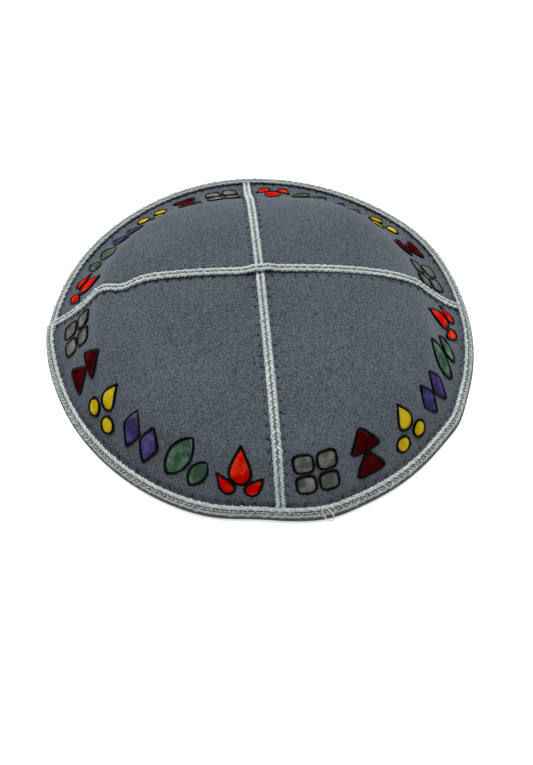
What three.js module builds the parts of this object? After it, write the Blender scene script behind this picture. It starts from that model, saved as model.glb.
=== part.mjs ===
// A four-gore suede skullcap lying on its rim, with braid over the seams and round the hem.
// Millimetres, +Z up, floor at z = 0. The near side of the cap is -Y and its right is +X.
import * as THREE from 'three';

const { clamp, degToRad, euclideanModulo, lerp, radToDeg, smoothstep } = THREE.MathUtils;

// Driving sizes of the suede, the braids and the gaps between pieces. The crown is where the four
// gores meet, a little off the middle. The hem reaches further up the wall at the front than behind.
const CROWN = { x: -2.5, y: 0.55, height: 30.6 };
const SUEDE_THICKNESS = 1.2;
const CLEARANCE = 0.3;
const SEAM_BRAID = { width: 3.6, height: 1.5, edgeHeight: 0.8, grooveHeight: 1.1 };
const HEM = { reach: 3.2, frontReach: 0.5, thickness: 1.25, noseLength: 1.4, lipChamfer: 0.7 };

// Where the four seams run down to the hem, as bearings from +X towards +Y.
const SEAMS = { right: 0.8, back: 91.4, left: 179.1, front: 269.6 };

// Where the seam braids cross at the crown: the lower one is pressed flat, the upper one climbs
// over it and steps sideways.
const CROSSING = { pressedShare: 0.65, flatRadius: 2.6, rampRadius: 8, jog: 1.2, jogRadius: 5 };
const CROSSING_STATIONS = [8, 6.2, 4.4, 2.6];

// Side profile all round, a row for each bearing from +X towards +Y. The rounded profile bends
// around two corners and ends at the gore's lower edge; each place is [radius, height].
const SECTIONS = [
  { bearing: 0, shoulder: [50.8, 28.9], foot: [75.1, 4.9], edge: [83.4, 2.4] },
  { bearing: 45, shoulder: [51.6, 29.7], foot: [71.9, 5.2], edge: [84.2, 2.4] },
  { bearing: 90, shoulder: [41.4, 29.1], foot: [66.2, 6.6], edge: [83.5, 2.4] },
  { bearing: 135, shoulder: [49.6, 29.0], foot: [70.2, 5.9], edge: [83.0, 2.4] },
  { bearing: 180, shoulder: [50.7, 32.1], foot: [73.9, 7.7], edge: [83.5, 2.2] },
  { bearing: 225, shoulder: [58.8, 30.0], foot: [78.2, 6.5], edge: [82.8, 1.9] },
  { bearing: 270, shoulder: [63.4, 29.5], foot: [79.6, 5.6], edge: [83.3, 1.9] },
  { bearing: 315, shoulder: [61.2, 29.0], foot: [79.0, 5.2], edge: [83.2, 2.1] },
];

// Dents and swellings of the soft wall, each a bell-shaped rise around one place. The spreads are
// measured along the radius and across it.
const FOLDS = [
  { name: 'dent across the left seam', bearing: 180, radius: 52.2, rise: -2.5, along: 3.9, across: 13 },
  { name: 'swelling below the dent', bearing: 180, radius: 59.8, rise: 0.9, along: 3.0, across: 10 },
];

// Places where the rim swells out of its round or is pressed in, each spread over some degrees.
const RIM_SWELLS = [
  { bearing: 28, out: 1.6, spread: 12 },
  { bearing: 98, out: 0.8, spread: 15 },
  { bearing: 184, out: 1.0, spread: 8 },
  { bearing: 264, out: -1.6, spread: 6 },
  { bearing: 281, out: 0.6, spread: 4 },
  { bearing: 323, out: 0.9, spread: 4 },
];
const SWELL_START = 0.55;

// How finely the soft walls are divided.
const UPPER_ROWS = 10;
const LOWER_ROWS = 6;
const GORE_COLUMNS = 20;
const HEM_SECTIONS = 80;
const NOSE_STEPS = 5;
const PROBE = { along: 0.002, bearing: 0.1 };
const SEARCH_STEPS = 40;

const SUEDE = new THREE.MeshStandardMaterial({ name: 'suede', color: 0x545b68, roughness: 0.95 });
const BRAID = new THREE.MeshStandardMaterial({ name: 'braid', color: 0xb4c4c0, roughness: 0.45 });

// Gathers the corners and triangles of one closed body.
class Solid {
  constructor() {
    this.corners = [];
    this.triangles = [];
  }

  corner(place) {
    this.corners.push(place);
    return this.corners.length - 1;
  }

  // A triangle with two corners in one place has no face, so it is left out.
  triangle(...corners) {
    if (new Set(corners).size === corners.length) this.triangles.push(...corners);
  }

  quad(a, b, c, d) {
    this.triangle(a, b, c);
    this.triangle(a, c, d);
  }

  // Joins two rows of corners, facing out where the rows run round to the left as seen from outside.
  strip(upper, lower) {
    for (let step = 0; step + 1 < upper.length; step += 1) {
      this.quad(upper[step], lower[step], lower[step + 1], upper[step + 1]);
    }
  }

  mesh(name, material) {
    const geometry = new THREE.BufferGeometry().setFromPoints(this.corners).setIndex(this.triangles);
    geometry.computeVertexNormals();
    const mesh = new THREE.Mesh(geometry, material);
    mesh.name = name;
    return mesh;
  }
}

// Smooth curve through four neighbouring table values, at a share of the way between the middle two.
function smoothBlend(before, first, second, after, share) {
  const bend = 2 * before - 5 * first + 4 * second - after;
  const twist = 3 * (first - second) + after - before;
  return first + 0.5 * share * (second - before + share * (bend + share * twist));
}

// The profile's two arcs at a bearing, from the crown to the middle of the slope and on to the edge.
function profileAt(bearing) {
  const place = euclideanModulo(bearing, 360) / (360 / SECTIONS.length);
  const first = Math.floor(place);
  const rows = [-1, 0, 1, 2].map((step) => SECTIONS[euclideanModulo(first + step, SECTIONS.length)]);
  const blend = (column, axis) => smoothBlend(...rows.map((row) => row[column][axis]), place - first);
  const corner = (column) => new THREE.Vector2(blend(column, 0), blend(column, 1));
  const crown = new THREE.Vector2(0, CROWN.height);
  const slope = corner('shoulder').lerp(corner('foot'), 0.5);
  return {
    upper: new THREE.QuadraticBezierCurve(crown, corner('shoulder'), slope),
    lower: new THREE.QuadraticBezierCurve(slope, corner('foot'), corner('edge')),
  };
}

// Rise of one fold at a place on the cap.
function foldRise(fold, place) {
  const angle = degToRad(fold.bearing);
  const outward = place.x * Math.cos(angle) + place.y * Math.sin(angle) - fold.radius;
  const sideways = place.y * Math.cos(angle) - place.x * Math.sin(angle);
  return fold.rise * Math.exp(-0.5 * ((outward / fold.along) ** 2 + (sideways / fold.across) ** 2));
}

// How far the swells move the rim out at a bearing.
function rimSwell(bearing) {
  return RIM_SWELLS.reduce((out, swell) => {
    const turn = euclideanModulo(bearing - swell.bearing + 180, 360) - 180;
    return out + swell.out * Math.exp(-0.5 * (turn / swell.spread) ** 2);
  }, 0);
}

// A point of the suede's outer face; along runs from 0 at the crown to 1 at the lower edge.
function suedePoint(bearing, along) {
  const { upper, lower } = profileAt(bearing);
  const flat = along < 0.5 ? upper.getPoint(2 * along) : lower.getPoint(2 * along - 1);
  const angle = degToRad(bearing);
  const radius = flat.x + rimSwell(bearing) * smoothstep(along, SWELL_START, 1);
  const place = new THREE.Vector3(radius * Math.cos(angle), radius * Math.sin(angle), flat.y);
  place.x += CROWN.x * (1 - along);
  place.y += CROWN.y * (1 - along);
  place.z += FOLDS.reduce((rise, fold) => rise + foldRise(fold, place), 0);
  return place;
}

// Step round the cap at a point of the suede.
function roundStep(bearing, along) {
  return suedePoint(bearing + PROBE.bearing, along).sub(suedePoint(bearing - PROBE.bearing, along));
}

// Outward direction at a point of the suede.
function suedeNormal(bearing, along) {
  if (along === 0) return new THREE.Vector3(0, 0, 1);
  const row = clamp(along, PROBE.along, 1 - PROBE.along);
  const down = suedePoint(bearing, row + PROBE.along).sub(suedePoint(bearing, row - PROBE.along));
  return down.cross(roundStep(bearing, along)).normalize();
}

// The share along the profile where a growing measure of the point reaches a wanted value.
function findAlong(bearing, measure, wanted) {
  let low = 0;
  let high = 1;
  for (let step = 0; step < SEARCH_STEPS; step += 1) {
    const middle = (low + high) / 2;
    if (measure(suedePoint(bearing, middle)) < wanted) low = middle;
    else high = middle;
  }
  return low;
}

// The share along the profile at a straight distance up from the lower edge.
function alongFromEdge(bearing, distance) {
  const edge = suedePoint(bearing, 1);
  return findAlong(bearing, (place) => -place.distanceTo(edge), -distance);
}

// Rows of the walls, finer on the shoulder and the foot than on the crown.
function wallRows() {
  const upper = Array.from({ length: UPPER_ROWS }, (_, row) => (0.5 * row) / UPPER_ROWS);
  const lower = Array.from({ length: LOWER_ROWS + 1 }, (_, row) => 0.5 + (0.5 * row) / LOWER_ROWS);
  return [...upper, ...lower];
}

// One gore between two seams: an outer and an inner face joined along the seams and the lower edge.
// It stands half a clearance back from each seam.
function gore(name, firstSeam, secondSeam) {
  const solid = new Solid();
  const angle = euclideanModulo(secondSeam - firstSeam, 360);
  const edgeRadius = suedePoint(firstSeam, 1).length();
  const inset = radToDeg(Math.atan(CLEARANCE / 2 / edgeRadius));
  const middle = degToRad(firstSeam + angle / 2);
  const setBack = new THREE.Vector3(Math.cos(middle), Math.sin(middle), 0);
  setBack.multiplyScalar(CLEARANCE / 2 / Math.sin(degToRad(angle / 2)));

  const place = (along, column, depth) => {
    const share = column / GORE_COLUMNS;
    const bearing = firstSeam + lerp(inset, angle - inset, share);
    const point = suedePoint(bearing, along).addScaledVector(setBack, 1 - along);
    return point.addScaledVector(suedeNormal(bearing, along), -depth);
  };
  const faceRow = (along, depth) => {
    if (along === 0) return Array(GORE_COLUMNS + 1).fill(solid.corner(place(along, 0, depth)));
    const columns = Array.from({ length: GORE_COLUMNS + 1 }, (_, column) => column);
    return columns.map((column) => solid.corner(place(along, column, depth)));
  };
  const outer = wallRows().map((along) => faceRow(along, 0));
  const inner = wallRows().map((along) => faceRow(along, SUEDE_THICKNESS));

  for (let row = 0; row + 1 < outer.length; row += 1) {
    solid.strip(outer[row], outer[row + 1]);
    solid.strip(inner[row + 1], inner[row]);
  }
  solid.strip(outer.at(-1), inner.at(-1));
  solid.strip(outer.map((row) => row[0]), inner.map((row) => row[0]));
  solid.strip(inner.map((row) => row.at(-1)), outer.map((row) => row.at(-1)));
  return solid.mesh(name, SUEDE);
}

// Skin over a row of sections. A closed row runs round to its first section; an open one gets ends.
function sweep(name, sections, closed) {
  const solid = new Solid();
  const rings = sections.map((section) => section.places.map((place) => solid.corner(place)));
  const loop = (ring) => [...ring, ring[0]];
  for (let step = 0; step + 1 < rings.length; step += 1) {
    solid.strip(loop(rings[step]), loop(rings[step + 1]));
  }
  if (closed) {
    solid.strip(loop(rings.at(-1)), loop(rings[0]));
    return solid.mesh(name, BRAID);
  }
  for (const [a, b, c] of THREE.ShapeUtils.triangulateShape(sections[0].outline, [])) {
    solid.triangle(rings[0][a], rings[0][b], rings[0][c]);
    solid.triangle(rings.at(-1)[a], rings.at(-1)[c], rings.at(-1)[b]);
  }
  return solid.mesh(name, BRAID);
}

// Outline of a seam braid, two ridges with a groove, from its left foot over to its right foot.
function seamOutline(heightShare) {
  const half = SEAM_BRAID.width / 2;
  const rise = (height) => CLEARANCE + height * heightShare;
  return [
    new THREE.Vector2(-half, CLEARANCE),
    new THREE.Vector2(half, CLEARANCE),
    new THREE.Vector2(half, rise(SEAM_BRAID.edgeHeight)),
    new THREE.Vector2(half / 2, rise(SEAM_BRAID.height)),
    new THREE.Vector2(0, rise(SEAM_BRAID.grooveHeight)),
    new THREE.Vector2(-half / 2, rise(SEAM_BRAID.height)),
    new THREE.Vector2(-half, rise(SEAM_BRAID.edgeHeight)),
  ];
}

// How far the hem reaches up the wall at a bearing.
function hemReach(bearing) {
  return HEM.reach - HEM.frontReach * Math.sin(degToRad(bearing));
}

// Shares along the profile where a seam braid is shaped, from the crown down to the hem's lip.
function seamStations(bearing) {
  const lip = alongFromEdge(bearing, hemReach(bearing) + CLEARANCE);
  const radius = (place) => Math.hypot(place.x - CROWN.x, place.y - CROWN.y);
  const crossing = CROSSING_STATIONS.map((wanted) => findAlong(bearing, radius, wanted));
  const onWall = wallRows().filter((along) => along > Math.max(...crossing) && along < lip);
  return [0, ...crossing.sort((a, b) => a - b), ...onWall, lip];
}

// A braid along one seam, from the hem at the first bearing over the crown to the hem at the second.
function seamBraid(name, firstBearing, secondBearing, passesOver) {
  const pressed = SEAM_BRAID.height * CROSSING.pressedShare + CLEARANCE;
  const straight = firstBearing + (euclideanModulo(secondBearing - firstBearing, 360) - 180) / 2;
  const across = degToRad(straight + 90);
  const side = new THREE.Vector3(Math.cos(across), Math.sin(across), 0);
  const section = (bearing, along, way) => {
    const place = suedePoint(bearing, along);
    const radius = Math.hypot(place.x - CROWN.x, place.y - CROWN.y);
    const nearCrossing = 1 - smoothstep(radius, CROSSING.flatRadius, CROSSING.rampRadius);
    const lift = passesOver ? pressed * nearCrossing : 0;
    const share = passesOver ? 1 : lerp(1, CROSSING.pressedShare, nearCrossing);
    const jog = passesOver ? (CROSSING.jog / 2) * smoothstep(radius, 0, CROSSING.jogRadius) * (1 - along) : 0;
    const normal = suedeNormal(bearing, along);
    const outline = seamOutline(share);
    const places = outline.map((spot) => place.clone()
      .addScaledVector(side, spot.x + way * jog)
      .addScaledVector(normal, spot.y + lift));
    return { outline, places };
  };
  const near = seamStations(firstBearing).reverse();
  const far = seamStations(secondBearing).slice(1);
  return sweep(name, [
    ...near.map((along) => section(firstBearing, along, 1)),
    ...far.map((along) => section(secondBearing, along, -1)),
  ], false);
}

// Outline of the hem binding, folded round the gores' edge: first the inner lip, then the nose, the
// outer lip and the slot for the suede. x runs down the slope from the edge and y out of the wall.
function hemOutline(reach) {
  const slot = SUEDE_THICKNESS / 2 + CLEARANCE;
  const face = slot + HEM.thickness;
  const noseStart = CLEARANCE + HEM.thickness - HEM.noseLength;
  const nose = new THREE.EllipseCurve(noseStart, 0, HEM.noseLength, face, -Math.PI / 2, Math.PI / 2);
  return [
    new THREE.Vector2(-reach, -slot),
    new THREE.Vector2(-reach, -face + HEM.lipChamfer),
    new THREE.Vector2(-reach + HEM.lipChamfer, -face),
    ...nose.getPoints(NOSE_STEPS),
    new THREE.Vector2(-reach + HEM.lipChamfer, face),
    new THREE.Vector2(-reach, face - HEM.lipChamfer),
    new THREE.Vector2(-reach, slot),
    new THREE.Vector2(CLEARANCE, slot),
    new THREE.Vector2(CLEARANCE, -slot),
  ];
}

// The binding all round the edge, pressed flat where it rests on the floor.
function hemBinding(name) {
  const sections = Array.from({ length: HEM_SECTIONS }, (_, step) => {
    const bearing = (360 * step) / HEM_SECTIONS;
    const outline = hemOutline(hemReach(bearing));
    const lip = suedePoint(bearing, alongFromEdge(bearing, hemReach(bearing)));
    const slope = suedePoint(bearing, 1).sub(lip).normalize();
    const normal = slope.clone().cross(roundStep(bearing, 1)).normalize();
    const edge = suedePoint(bearing, 1).addScaledVector(normal, -SUEDE_THICKNESS / 2);
    const places = outline.map((spot) => {
      const place = edge.clone().addScaledVector(slope, spot.x).addScaledVector(normal, spot.y);
      return place.setZ(Math.max(place.z, 0));
    });
    return { outline, places };
  });
  return sweep(name, sections, true);
}

const cap = new THREE.Group();
cap.name = 'kippah_skullcap';
cap.add(
  gore('panel_back_right', SEAMS.right, SEAMS.back),
  gore('panel_back_left', SEAMS.back, SEAMS.left),
  gore('panel_front_left', SEAMS.left, SEAMS.front),
  gore('panel_front_right', SEAMS.front, SEAMS.right),
  seamBraid('seam_braid_front_back', SEAMS.front, SEAMS.back, false),
  seamBraid('seam_braid_left_right', SEAMS.left, SEAMS.right, true),
  hemBinding('hem_binding'),
);

export default cap;
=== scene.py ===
"""Looks of a four-gore suede skullcap that lies on its rim.

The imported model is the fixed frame. The suede gores, the two seam braids and the hem binding are
rebuilt here as finished meshes in the same places, with stitches and raised paint on them.
Shapes are worked out in millimetres and become metres where a mesh is made.
"""

import logging
import math
from dataclasses import dataclass
from enum import Enum
from typing import Any, Optional, Sequence

import bmesh
import bpy
import numpy as np
from mathutils import Matrix, Vector


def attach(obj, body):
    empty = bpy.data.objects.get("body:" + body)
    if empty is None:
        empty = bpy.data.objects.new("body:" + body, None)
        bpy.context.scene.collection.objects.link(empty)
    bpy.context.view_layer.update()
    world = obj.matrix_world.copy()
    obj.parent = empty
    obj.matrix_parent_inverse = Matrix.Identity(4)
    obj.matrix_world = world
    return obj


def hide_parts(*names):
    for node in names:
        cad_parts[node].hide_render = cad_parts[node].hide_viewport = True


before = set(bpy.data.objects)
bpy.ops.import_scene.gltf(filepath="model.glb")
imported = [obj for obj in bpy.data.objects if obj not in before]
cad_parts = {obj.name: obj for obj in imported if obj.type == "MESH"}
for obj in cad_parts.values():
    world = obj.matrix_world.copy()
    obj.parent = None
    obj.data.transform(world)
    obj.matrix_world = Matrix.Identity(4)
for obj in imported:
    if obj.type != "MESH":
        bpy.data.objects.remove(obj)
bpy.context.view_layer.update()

LOG = logging.getLogger("skullcap")
MM = 0.001
ROOT = "root"
Array = np.ndarray
Colour = tuple[float, float, float]
Range = tuple[float, float]
Faces = list[tuple[int, ...]]
Body = tuple[np.ndarray, Faces]
WELD_DISTANCE = 1e-7
SLIVER_EDGE = 1e-8


def unit(vectors: Array) -> Array:
    """Gives vectors their unit length.

    Args:
        vectors: Vectors in the last axis.

    Returns:
        The same directions with length one.
    """
    return vectors / np.linalg.norm(vectors, axis=-1, keepdims=True)


def bell(distance: Array, spread: float) -> Array:
    """Gives a bell curve of height one.

    Args:
        distance: How far each place is from the middle.
        spread: Distance at which the curve has sunk to about 0.6.

    Returns:
        The curve's height at each place.
    """
    return np.exp(-0.5 * (distance / spread) ** 2)


def ease(value: Array, low: float, high: float) -> Array:
    """Rises smoothly from 0 at the low value to 1 at the high value."""
    share = np.clip((value - low) / (high - low), 0.0, 1.0)
    return share * share * (3.0 - 2.0 * share)


def bend(start: Array, corner: Array, end: Array, share: Array) -> Array:
    """Follows an arc that leaves its start towards a corner and arrives from it.

    Args:
        start: First point of the arc.
        corner: Point that the arc bends around.
        end: Last point of the arc.
        share: How far along the arc, from 0 to 1.

    Returns:
        The points on the arc.
    """
    share = share[..., None]
    return (1 - share) ** 2 * start + 2 * share * (1 - share) * corner + share**2 * end


def arc_lengths(path: Array) -> Array:
    """Gives the distance along a path at each of its points."""
    steps = np.linalg.norm(np.diff(path, axis=0), axis=1)
    return np.concatenate(([0.0], np.cumsum(steps)))


def spaced(path: Array, count: int) -> Array:
    """Gives evenly spaced points along a path, its two ends included.

    Args:
        path: Points of the path.
        count: How many points are wanted.

    Returns:
        The spaced points.
    """
    lengths = arc_lengths(path)
    wanted = np.linspace(0.0, lengths[-1], count)
    return np.stack([np.interp(wanted, lengths, path[:, axis]) for axis in range(3)], axis=-1)


@dataclass(frozen=True)
class Section:
    """Side profile at one bearing: the corners it bends around and the gore's edge."""

    shoulder: tuple[float, float]
    foot: tuple[float, float]
    edge: tuple[float, float]


@dataclass(frozen=True)
class Fold:
    """One dent or swelling of the soft wall, spread along the radius and across it."""

    bearing: float
    radius: float
    rise: float
    along: float
    across: float


@dataclass(frozen=True)
class Swell:
    """A place where the rim swells out of its round, or is pressed in."""

    bearing: float
    out: float
    spread: float


@dataclass(frozen=True)
class CapForm:
    """Outer face of the suede all round; along runs from 0 at the crown to 1 at the edge."""

    crown: tuple[float, float, float] = (-2.5, 0.55, 30.6)
    thickness: float = 1.2
    sections: tuple[Section, ...] = (
        Section(shoulder=(50.8, 28.9), foot=(75.1, 4.9), edge=(83.4, 2.4)),
        Section(shoulder=(51.6, 29.7), foot=(71.9, 5.2), edge=(84.2, 2.4)),
        Section(shoulder=(41.4, 29.1), foot=(66.2, 6.6), edge=(83.5, 2.4)),
        Section(shoulder=(49.6, 29.0), foot=(70.2, 5.9), edge=(83.0, 2.4)),
        Section(shoulder=(50.7, 32.1), foot=(73.9, 7.7), edge=(83.5, 2.2)),
        Section(shoulder=(58.8, 30.0), foot=(78.2, 6.5), edge=(82.8, 1.9)),
        Section(shoulder=(63.4, 29.5), foot=(79.6, 5.6), edge=(83.3, 1.9)),
        Section(shoulder=(61.2, 29.0), foot=(79.0, 5.2), edge=(83.2, 2.1)),
    )
    folds: tuple[Fold, ...] = (
        Fold(bearing=180, radius=52.2, rise=-2.5, along=3.9, across=13),
        Fold(bearing=180, radius=59.8, rise=0.9, along=3.0, across=10),
    )
    swells: tuple[Swell, ...] = (
        Swell(bearing=28, out=1.6, spread=12),
        Swell(bearing=98, out=0.8, spread=15),
        Swell(bearing=184, out=1.0, spread=8),
        Swell(bearing=264, out=-1.6, spread=6),
        Swell(bearing=281, out=0.6, spread=4),
        Swell(bearing=323, out=0.9, spread=4),
    )
    swell_start: float = 0.55
    probe_along: float = 0.002
    probe_bearing: float = 0.1
    wall_steps: int = 400

    def corners(self, bearing: Array) -> Array:
        """Blends the table's corners smoothly between its rows.

        Args:
            bearing: Degrees from +X towards +Y.

        Returns:
            Radius and height of the shoulder, foot and edge at each bearing.
        """
        table = np.array([(row.shoulder, row.foot, row.edge) for row in self.sections])
        place = np.mod(bearing, 360.0) / (360.0 / len(table))
        first = np.floor(place).astype(int)
        share = (place - first)[..., None, None]
        before, here, after, beyond = (table[(first + step) % len(table)] for step in (-1, 0, 1, 2))
        curve = 2 * before - 5 * here + 4 * after - beyond
        twist = 3 * (here - after) + beyond - before
        return here + 0.5 * share * (after - before + share * (curve + share * twist))

    def point(self, bearing: Array, along: Array) -> Array:
        """Gives points of the outer face.

        Args:
            bearing: Degrees from +X towards +Y.
            along: Share of the way from the crown to the edge.

        Returns:
            Points in millimetres.
        """
        bearing, along = np.broadcast_arrays(np.asarray(bearing, float), np.asarray(along, float))
        shoulder, foot, edge = np.moveaxis(self.corners(bearing), -2, 0)
        slope = (shoulder + foot) / 2
        crown = np.array((0.0, self.crown[2]))
        upper = bend(crown, shoulder, slope, 2 * along)
        lower = bend(slope, foot, edge, 2 * along - 1)
        flat = np.where((along < 0.5)[..., None], upper, lower)
        angle = np.radians(bearing)
        radius = flat[..., 0] + self.rim_swell(bearing) * ease(along, self.swell_start, 1.0)
        place = np.stack((radius * np.cos(angle), radius * np.sin(angle), flat[..., 1]), -1)
        place[..., :2] += (1 - along)[..., None] * self.crown[:2]
        place[..., 2] += sum(self.fold_rise(fold, place) for fold in self.folds)
        return place

    def rim_swell(self, bearing: Array) -> Array:
        """Gives how far the swells move the rim out at each bearing."""
        rise = np.zeros_like(bearing)
        for swell in self.swells:
            turn = np.mod(bearing - swell.bearing + 180.0, 360.0) - 180.0
            rise = rise + swell.out * bell(turn, swell.spread)
        return rise

    def from_crown(self, places: Array) -> Array:
        """Gives the level distance of each place from the crown."""
        return np.hypot(places[..., 0] - self.crown[0], places[..., 1] - self.crown[1])

    @staticmethod
    def fold_rise(fold: Fold, place: Array) -> Array:
        """Gives how far one fold lifts the face at each place."""
        angle = math.radians(fold.bearing)
        outward = place[..., 0] * math.cos(angle) + place[..., 1] * math.sin(angle) - fold.radius
        sideways = place[..., 1] * math.cos(angle) - place[..., 0] * math.sin(angle)
        return fold.rise * bell(outward, fold.along) * bell(sideways, fold.across)

    def round_step(self, bearing: Array, along: Array) -> Array:
        """Gives the direction round the cap at each place."""
        ahead = self.point(bearing + self.probe_bearing, along)
        return unit(ahead - self.point(bearing - self.probe_bearing, along))

    def normal(self, bearing: Array, along: Array) -> Array:
        """Gives the outward direction at each place."""
        row = np.clip(along, self.probe_along, 1 - self.probe_along)
        down = self.point(bearing, row + self.probe_along) - self.point(bearing, row - self.probe_along)
        return unit(np.cross(down, self.round_step(bearing, row)))

    def along_from_edge(self, bearing: float, distance: Array) -> Array:
        """Finds the places at given distances up the wall from its lower edge.

        Args:
            bearing: Degrees from +X towards +Y.
            distance: Distances along the wall in millimetres.

        Returns:
            Share of the way from the crown to the edge.
        """
        shares = np.linspace(0.0, 1.0, self.wall_steps)
        lengths = arc_lengths(self.point(bearing, shares))
        return np.interp(lengths[-1] - np.asarray(distance), lengths, shares)


CAP = CapForm()


class NodeMaker:
    """Adds nodes to one tree and links them."""

    # Colour and strength of the painted shade near the floor.
    PAINTED_SHADE = (0.010, 0.013, 0.013, 1.0)
    PAINTED_SHADE_SHARE = 0.93

    def __init__(self, tree: bpy.types.NodeTree) -> None:
        """Keeps the tree that the nodes go in."""
        self.tree = tree

    def add(self, kind: str, inputs: Optional[dict[str, Any]] = None, **settings: Any) -> bpy.types.Node:
        """Adds one node.

        Args:
            kind: Blender's name for the node type.
            inputs: Values or output sockets for the node's inputs, by identifier or name.
            **settings: The node's own properties.

        Returns:
            The new node.
        """
        node = self.tree.nodes.new(kind)
        for name, value in settings.items():
            setattr(node, name, value)
        for name, value in (inputs or {}).items():
            self.feed(self.socket(node, name), value)
        return node

    @staticmethod
    def socket(node: bpy.types.Node, name: str) -> bpy.types.NodeSocket:
        """Finds an input by its identifier, or else by its name."""
        named = [socket for socket in node.inputs if socket.identifier == name]
        return named[0] if named else node.inputs[name]

    def feed(self, socket: bpy.types.NodeSocket, value: Any) -> None:
        """Links an output to a socket, or sets the socket's own value."""
        if isinstance(value, bpy.types.NodeSocket):
            self.tree.links.new(value, socket)
        else:
            socket.default_value = value

    def calc(self, operation: str, *values: Any) -> bpy.types.NodeSocket:
        """Adds a sum on numbers.

        Args:
            operation: Name of the sum.
            *values: Numbers or output sockets.

        Returns:
            The result's socket.
        """
        node = self.tree.nodes.new("ShaderNodeMath")
        node.operation = operation
        for socket, value in zip(node.inputs, values):
            self.feed(socket, value)
        return node.outputs[0]

    def scaled(self, vector: Any, factor: Any) -> bpy.types.NodeSocket:
        """Adds a vector times a number."""
        settings = {"Vector": vector, "Scale": factor}
        return self.add("ShaderNodeVectorMath", settings, operation="SCALE").outputs["Vector"]

    def summed(self, first: Any, second: Any) -> bpy.types.NodeSocket:
        """Adds the sum of two vectors."""
        node = self.tree.nodes.new("ShaderNodeVectorMath")
        node.operation = "ADD"
        self.feed(node.inputs[0], first)
        self.feed(node.inputs[1], second)
        return node.outputs["Vector"]

    def noise(self, spot: Any, scale: float, detail: float = 2.0, roughness: float = 0.5) -> Any:
        """Adds a noise pattern.

        Args:
            spot: Socket with the place.
            scale: Repeats in a metre.
            detail: How many finer layers.
            roughness: Strength of the finer layers.

        Returns:
            The socket with the pattern's value.
        """
        inputs = {"Vector": spot, "Scale": scale, "Detail": detail, "Roughness": roughness}
        return self.add("ShaderNodeTexNoise", inputs).outputs["Fac"]

    def stretch(self, value: Any, low: float, high: float, start: float = 0.0, end: float = 1.0) -> Any:
        """Adds a clamped change of range.

        Args:
            value: Socket to change.
            low: Value that becomes the start.
            high: Value that becomes the end.
            start: Lowest result.
            end: Highest result.

        Returns:
            The result's socket.
        """
        inputs = {"Value": value, "From Min": low, "From Max": high, "To Min": start, "To Max": end}
        return self.add("ShaderNodeMapRange", inputs).outputs["Result"]

    def mixed(self, share: Any, first: Any, second: Any) -> Any:
        """Adds a mix of two colours.

        Args:
            share: How much of the second colour.
            first: First colour or socket.
            second: Second colour or socket.

        Returns:
            The mixed colour's socket.
        """
        node = self.add("ShaderNodeMix", data_type="RGBA")
        self.feed(self.socket(node, "Factor_Float"), share)
        self.feed(self.socket(node, "A_Color"), first)
        self.feed(self.socket(node, "B_Color"), second)
        return node.outputs[2]

    def floor_shade(self, spot: Any, colour: Any, low: float = 0.0010, high: float = 0.0060) -> Any:
        """Adds painted shade that darkens a colour towards the floor, where the hem meets it.

        Args:
            spot: Socket with the place.
            colour: The colour without the painted shade.
            low: Height in metres of the full painted shade.
            high: Height in metres where it ends.

        Returns:
            The shaded colour's socket.
        """
        # Painted shade: darker towards the floor, standing in for the shadow along the hem's underside.
        height = self.add("ShaderNodeSeparateXYZ", {"Vector": spot}).outputs["Z"]
        return self.mixed(self.stretch(height, low, high, self.PAINTED_SHADE_SHARE, 0.0), colour, self.PAINTED_SHADE)

    def spot(self) -> bpy.types.NodeSocket:
        """Adds the place on the piece, in metres."""
        return self.add("ShaderNodeTexCoord").outputs["Object"]

    def relief(self, shader: bpy.types.Node, height: Any, depth: float, strength: float) -> None:
        """Adds fine relief to a shader.

        Args:
            shader: The shader whose surface is roughened.
            height: Socket with the height.
            depth: Depth in metres of a height of one.
            strength: How much of the relief shows.
        """
        inputs = {"Height": height, "Distance": depth, "Strength": strength}
        self.feed(shader.inputs["Normal"], self.add("ShaderNodeBump", inputs).outputs["Normal"])


def solid_colour(colour: Colour) -> tuple[float, float, float, float]:
    """Gives a colour with full cover."""
    return (*colour, 1.0)


class Finish:
    """A material that is made once and worn by many pieces."""

    name: str

    def paint(self, maker: NodeMaker, shader: bpy.types.Node) -> None:
        """Adds the finish's own nodes before the shader."""
        raise NotImplementedError

    def material(self) -> bpy.types.Material:
        """Gives the material, made at the first call.

        Returns:
            The material with this finish's name.
        """
        known = bpy.data.materials.get(self.name)
        if known is not None:
            return known
        material = bpy.data.materials.new(self.name)
        material.use_nodes = True
        maker = NodeMaker(material.node_tree)
        self.paint(maker, material.node_tree.nodes["Principled BSDF"])
        return material


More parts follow.
